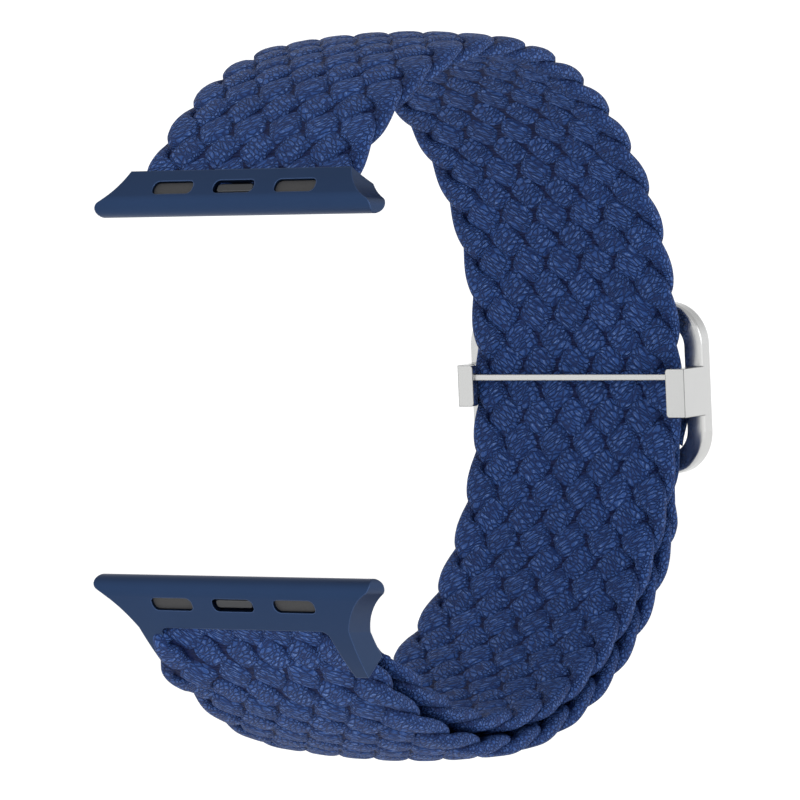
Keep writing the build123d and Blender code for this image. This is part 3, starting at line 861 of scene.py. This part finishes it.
def make_tail_end():
    """Two faces of quads, closed at the braid's side, welded where the rounded rims meet."""
    clocks = np.linspace(tail_end_clock - tail_overlap_turn, tail_end_clock + tail_turn, tail_rows)
    stations = np.sin(np.linspace(-math.pi / 2, math.pi / 2, tail_columns)) * tail_width / 2
    corners = [tail_corner(side, clock, x) for side in (1, -1) for clock in clocks for x in stations]
    inner = tail_rows * tail_columns
    faces = []
    for side, start in ((1, 0), (-1, inner)):
        for row in range(tail_rows - 1):
            for column in range(tail_columns - 1):
                a = start + row * tail_columns + column
                quad = [a, a + 1, a + tail_columns + 1, a + tail_columns]
                faces.append(quad if side == -1 else quad[::-1])
    for column in range(tail_columns - 1):
        faces.append([column, column + 1, inner + column + 1, inner + column])
    mesh = bpy.data.meshes.new("tail_end")
    mesh.from_pydata(corners, [], faces)
    for polygon in mesh.polygons:
        polygon.use_smooth = True
    piece = bpy.data.objects.new("tail_end", mesh)
    bpy.context.scene.collection.objects.link(piece)
    weld = bmesh.new()
    weld.from_mesh(mesh)
    bmesh.ops.remove_doubles(weld, verts=weld.verts, dist=weld_distance * MM)
    bmesh.ops.recalc_face_normals(weld, faces=weld.faces)
    weld.to_mesh(mesh)
    weld.free()
    return piece


tail_end = make_tail_end()
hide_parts("tail_tip")
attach(tail_end, "upper_half")
print("tail end faces", len(tail_end.data.polygons))

# %% [markdown]
# Pressed under heat, the yarn's filaments melt into a skin: darker than the yarn, a little glossier, and
# mottled where filaments show through. The mottle is a quarter of a millimetre, about a bundle of filaments.

# %% Pressed yarn
pressed_dark = "#142650"
pressed_light = "#243F78"
mottle_mm = 0.25
mottle_depth_mm = 0.05


def make_pressed_material(name):
    """Yarn melted to a mottled skin."""
    material, tree, output = new_material(name)
    place = add_node(tree, "ShaderNodeTexCoord")
    mottle = add_node(
        tree,
        "ShaderNodeTexNoise",
        inputs={"Vector": place.outputs["Object"], "Scale": 1 / (mottle_mm * MM), "Detail": 3.0},
    )
    bump = add_node(
        tree,
        "ShaderNodeBump",
        inputs={"Height": mottle.outputs["Fac"], "Strength": 1.0, "Distance": mottle_depth_mm * MM},
    )
    mixed = add_node(
        tree,
        "ShaderNodeMix",
        {"data_type": "RGBA"},
        {0: mottle.outputs["Fac"], MIX_FROM: linear(pressed_dark), MIX_TO: linear(pressed_light)},
    )
    shader = add_node(
        tree,
        "ShaderNodeBsdfPrincipled",
        inputs={"Base Color": mixed.outputs[MIX_RESULT], "Roughness": 0.5, "Normal": bump.outputs[0]},
    )
    tree.links.new(shader.outputs[0], output.inputs["Surface"])
    return material


set_material(tail_end, make_pressed_material("heat_pressed_yarn"))
print("tail end finish:", tail_end.data.materials[0].name)

# %% [markdown]
# ## Metal
# The connectors are aluminium, bead blasted and dyed navy by anodising: the blasting gives a fine satin
# grain with broad soft highlights, and the dye sits in the oxide layer, so the highlights are blue too.
# The catches are satin stainless steel. The buckle is polished stainless steel: a mirror that shows the
# white room, with thin dark lines at its edges, which turn to the darker side of the room.
# Machined edges are never razor sharp. They could be bevelled in the mesh, but these are CAD pieces, so the
# shader rounds them by a tenth of a millimetre or two and paints that strip in its own colour: a painted
# highlight on the navy metal and the catches, and the buckle's thin dark lines as a painted reflection.

# %% Metal material
# Cloudy shading over a few millimetres, as a dye bath or a polishing wheel leaves it.
cloud_mm = 6
# Cosines of the turn from the face's own normal to the rounded one: all edge below, all face above.
edge_turn = {"From Min": 0.86, "From Max": 0.99}
gloss_range = (0.9, 1.12)


def make_metal_material(
    name, colour, worn_colour, painted_edge_colour, roughness, grit_mm, grit_depth_mm, edge_mm
):
    """A metal with a fine grain in its bump and colour, and rounded edges with a painted highlight or
    reflection colour.
    """
    material, tree, output = new_material(name)
    place = add_node(tree, "ShaderNodeTexCoord")
    grit = add_node(
        tree,
        "ShaderNodeTexNoise",
        inputs={"Vector": place.outputs["Object"], "Scale": 1 / (grit_mm * MM), "Detail": 2.0},
    )
    cloud = add_node(
        tree,
        "ShaderNodeTexNoise",
        inputs={"Vector": place.outputs["Object"], "Scale": 1 / (cloud_mm * MM), "Detail": 3.0},
    )
    edge = add_node(tree, "ShaderNodeBevel", {"samples": 6}, {"Radius": edge_mm * MM})
    bump = add_node(
        tree,
        "ShaderNodeBump",
        inputs={
            "Height": grit.outputs["Fac"],
            "Strength": 1.0,
            "Distance": grit_depth_mm * MM,
            "Normal": edge.outputs[0],
        },
    )
    tint = add_node(
        tree,
        "ShaderNodeMix",
        {"data_type": "RGBA"},
        {0: cloud.outputs["Fac"], MIX_FROM: linear(colour), MIX_TO: linear(worn_colour)},
    )
    facing = add_node(tree, "ShaderNodeNewGeometry")
    turned = add_node(
        tree,
        "ShaderNodeVectorMath",
        {"operation": "DOT_PRODUCT"},
        {0: edge.outputs[0], 1: facing.outputs["True Normal"]},
    )
    # The edge strip gets a painted highlight or painted reflection colour.
    flat = add_node(tree, "ShaderNodeMapRange", inputs={"Value": turned.outputs["Value"], **edge_turn})
    painted_edges = add_node(
        tree,
        "ShaderNodeMix",
        {"data_type": "RGBA"},
        {0: flat.outputs["Result"], MIX_FROM: linear(painted_edge_colour), MIX_TO: tint.outputs[MIX_RESULT]},
    )
    gloss = add_node(
        tree,
        "ShaderNodeMapRange",
        inputs={
            "Value": cloud.outputs["Fac"],
            "To Min": roughness * gloss_range[0],
            "To Max": roughness * gloss_range[1],
        },
    )
    shader = add_node(
        tree,
        "ShaderNodeBsdfPrincipled",
        inputs={
            "Base Color": painted_edges.outputs[MIX_RESULT],
            "Metallic": 1.0,
            "Roughness": gloss.outputs["Result"],
            "Normal": bump.outputs[0],
        },
    )
    tree.links.new(shader.outputs[0], output.inputs["Surface"])
    return material


# Blasted aluminium has a roughness of about 0.4. The grit leaves pits of about 0.05 mm, drawn at 0.12 mm
# so that the satin shows.
navy_anodised = make_metal_material(
    "navy_anodised_aluminium",
    colour="#293C5C",
    worn_colour="#2D4163",
    # A painted highlight along the edges.
    painted_edge_colour="#4A6089",
    roughness=0.42,
    grit_mm=0.12,
    grit_depth_mm=0.006,
    edge_mm=0.18,
)
# Satin steel is close to that, and here it stands in the shade of its slot, so its greys are dark.
catch_satin = make_metal_material(
    "satin_stainless_steel",
    colour="#46474A",
    worn_colour="#525355",
    # A painted highlight along the edges.
    painted_edge_colour="#77797C",
    roughness=0.38,
    grit_mm=0.10,
    grit_depth_mm=0.003,
    edge_mm=0.08,
)
# Freshly polished steel would be below 0.1, but the photograph shows no sharp reflection in it, so it is 0.24.
polished_steel = make_metal_material(
    "polished_stainless_steel",
    colour="#C4C5C5",
    worn_colour="#CCCCCC",
    # A painted dark reflection along the edges.
    painted_edge_colour="#505254",
    roughness=0.24,
    grit_mm=0.30,
    grit_depth_mm=0.0006,
    edge_mm=0.16,
)
print("metals:", [metal.name for metal in (navy_anodised, catch_satin, polished_steel)])

# %% [markdown]
# ## Rubber
# The pads are moulded silicone, almost black. The mould is spark eroded, which leaves an even matt skin, so
# the rubber gets a fine bump and a faint lighter mottle. A roughness of about 0.6 is usual for such a skin.

# %% Rubber material
rubber_black = "#2F2F31"
rubber_grey = "#3C3C3E"
skin_mm = 0.18
skin_depth_mm = 0.012


def make_rubber_material(name):
    """Moulded rubber with a matt skin."""
    material, tree, output = new_material(name)
    place = add_node(tree, "ShaderNodeTexCoord")
    skin = add_node(
        tree,
        "ShaderNodeTexNoise",
        inputs={"Vector": place.outputs["Object"], "Scale": 1 / (skin_mm * MM), "Detail": 2.0},
    )
    bump = add_node(
        tree,
        "ShaderNodeBump",
        inputs={"Height": skin.outputs["Fac"], "Strength": 1.0, "Distance": skin_depth_mm * MM},
    )
    tint = add_node(
        tree,
        "ShaderNodeMix",
        {"data_type": "RGBA"},
        {0: skin.outputs["Fac"], MIX_FROM: linear(rubber_black), MIX_TO: linear(rubber_grey)},
    )
    shader = add_node(
        tree,
        "ShaderNodeBsdfPrincipled",
        inputs={"Base Color": tint.outputs[MIX_RESULT], "Roughness": 0.62, "Normal": bump.outputs[0]},
    )
    tree.links.new(shader.outputs[0], output.inputs["Surface"])
    return material


pad_rubber = make_rubber_material("black_silicone_rubber")
print("rubber:", pad_rubber.name)

# %% [markdown]
# ## Finishes on the CAD pieces
# A CAD piece keeps its mesh and its place. Only the material in its slots is exchanged.

# %% Finishes
finishes = {
    navy_anodised: ("upper_connector", "lower_connector", "upper_catch_cover", "lower_catch_cover"),
    catch_satin: (
        "upper_catch",
        "lower_catch",
        "upper_catch_spring",
        "lower_catch_spring",
        "upper_rivets",
        "lower_rivets",
    ),
    polished_steel: ("buckle_frame", "front_bar", "rear_bar"),
    pad_rubber: ("upper_left_pad", "upper_right_pad", "lower_left_pad", "lower_right_pad"),
}
for material, names in finishes.items():
    for name in names:
        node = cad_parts[name]
        for material_slot in node.material_slots:
            material_slot.material = material
        if not node.material_slots:
            node.data.materials.append(material)
print("finished CAD pieces:", sum(len(names) for names in finishes.values()))

# %% [markdown]
# ## The floor
# The photograph has a pure white ground without a shadow, as above a table of white acrylic that is lit from
# below. So the floor glows a little by itself. A watch case would hold the open strap upright, and so it
# hangs here 12 mm above the floor, with only a faint shadow far below.

# %% Floor
floor_drop = 12 * MM
floor_radius = 6.0
floor_sides = 64
floor_glow = 0.3
floor_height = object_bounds()[0][2] - floor_drop
around = 2 * math.pi * np.arange(floor_sides) / floor_sides
floor_mesh = bpy.data.meshes.new("studio_floor")
floor_mesh.from_pydata(
    [(floor_radius * math.cos(a), floor_radius * math.sin(a), floor_height) for a in around],
    [],
    [list(range(floor_sides))],
)
floor = bpy.data.objects.new("studio_floor", floor_mesh)
bpy.context.scene.collection.objects.link(floor)
floor_acrylic, floor_tree, floor_output = new_material("lit_white_acrylic")
floor_shader = add_node(
    floor_tree,
    "ShaderNodeBsdfPrincipled",
    inputs={
        "Base Color": linear("#FFFFFD"),
        "Roughness": 0.9,
        "Emission Color": linear("#FFFFFF"),
        "Emission Strength": floor_glow,
    },
)
floor_tree.links.new(floor_shader.outputs[0], floor_output.inputs["Surface"])
set_material(floor, floor_acrylic)
print("floor at", round(floor_height / MM, 1), "mm")

# %% [markdown]
# ## The light
# The room is white all round, which gives the even light of the photograph. It is brightest near the horizon
# and dimmer overhead, so that the sides of the leaves and of the metal get more light than their tops, as in
# the photograph. Two large soft lamps add a gentle direction, so the plait and the edges read.
# The standard view transform keeps white white: the film-like one would grey the ground.

# %% Room light
wall_brightness = 1.16
ceiling_brightness = 0.62
wall_top, ceiling_start = 0.2, 0.75
world = bpy.data.worlds.new("white_studio")
world.use_nodes = True
room = world.node_tree
direction = add_node(room, "ShaderNodeTexCoord")
height_share = add_node(room, "ShaderNodeSeparateXYZ", inputs={0: direction.outputs["Generated"]})
wall_light = add_node(
    room,
    "ShaderNodeMapRange",
    {"interpolation_type": "SMOOTHSTEP"},
    {
        "Value": height_share.outputs["Z"],
        "From Min": wall_top,
        "From Max": ceiling_start,
        "To Min": wall_brightness,
        "To Max": ceiling_brightness,
    },
)
background = room.nodes["Background"]
background.inputs["Color"].default_value = linear("#FFFFFF")
room.links.new(wall_light.outputs["Result"], background.inputs["Strength"])
bpy.context.scene.world = world
bpy.context.scene.view_settings.view_transform = "Standard"
print("the room's light falls from", wall_brightness, "at the walls to", ceiling_brightness, "overhead")


# %% Lamps
def soft_lamp(name, place, size, watts):
    """A round soft lamp that points at the camera's aim."""
    lamp = bpy.data.lights.new(name, "AREA")
    lamp.shape = "DISK"
    lamp.size = size
    lamp.energy = watts
    stand = bpy.data.objects.new(name, lamp)
    stand.location = place
    stand.rotation_euler = (aim - Vector(place)).to_track_quat("-Z", "Y").to_euler()
    bpy.context.scene.collection.objects.link(stand)


soft_lamp("key_lamp", place=(-0.35, -0.55, 0.60), size=0.6, watts=0.3)
soft_lamp("side_lamp", place=(0.80, -0.10, 0.25), size=0.5, watts=1.0)
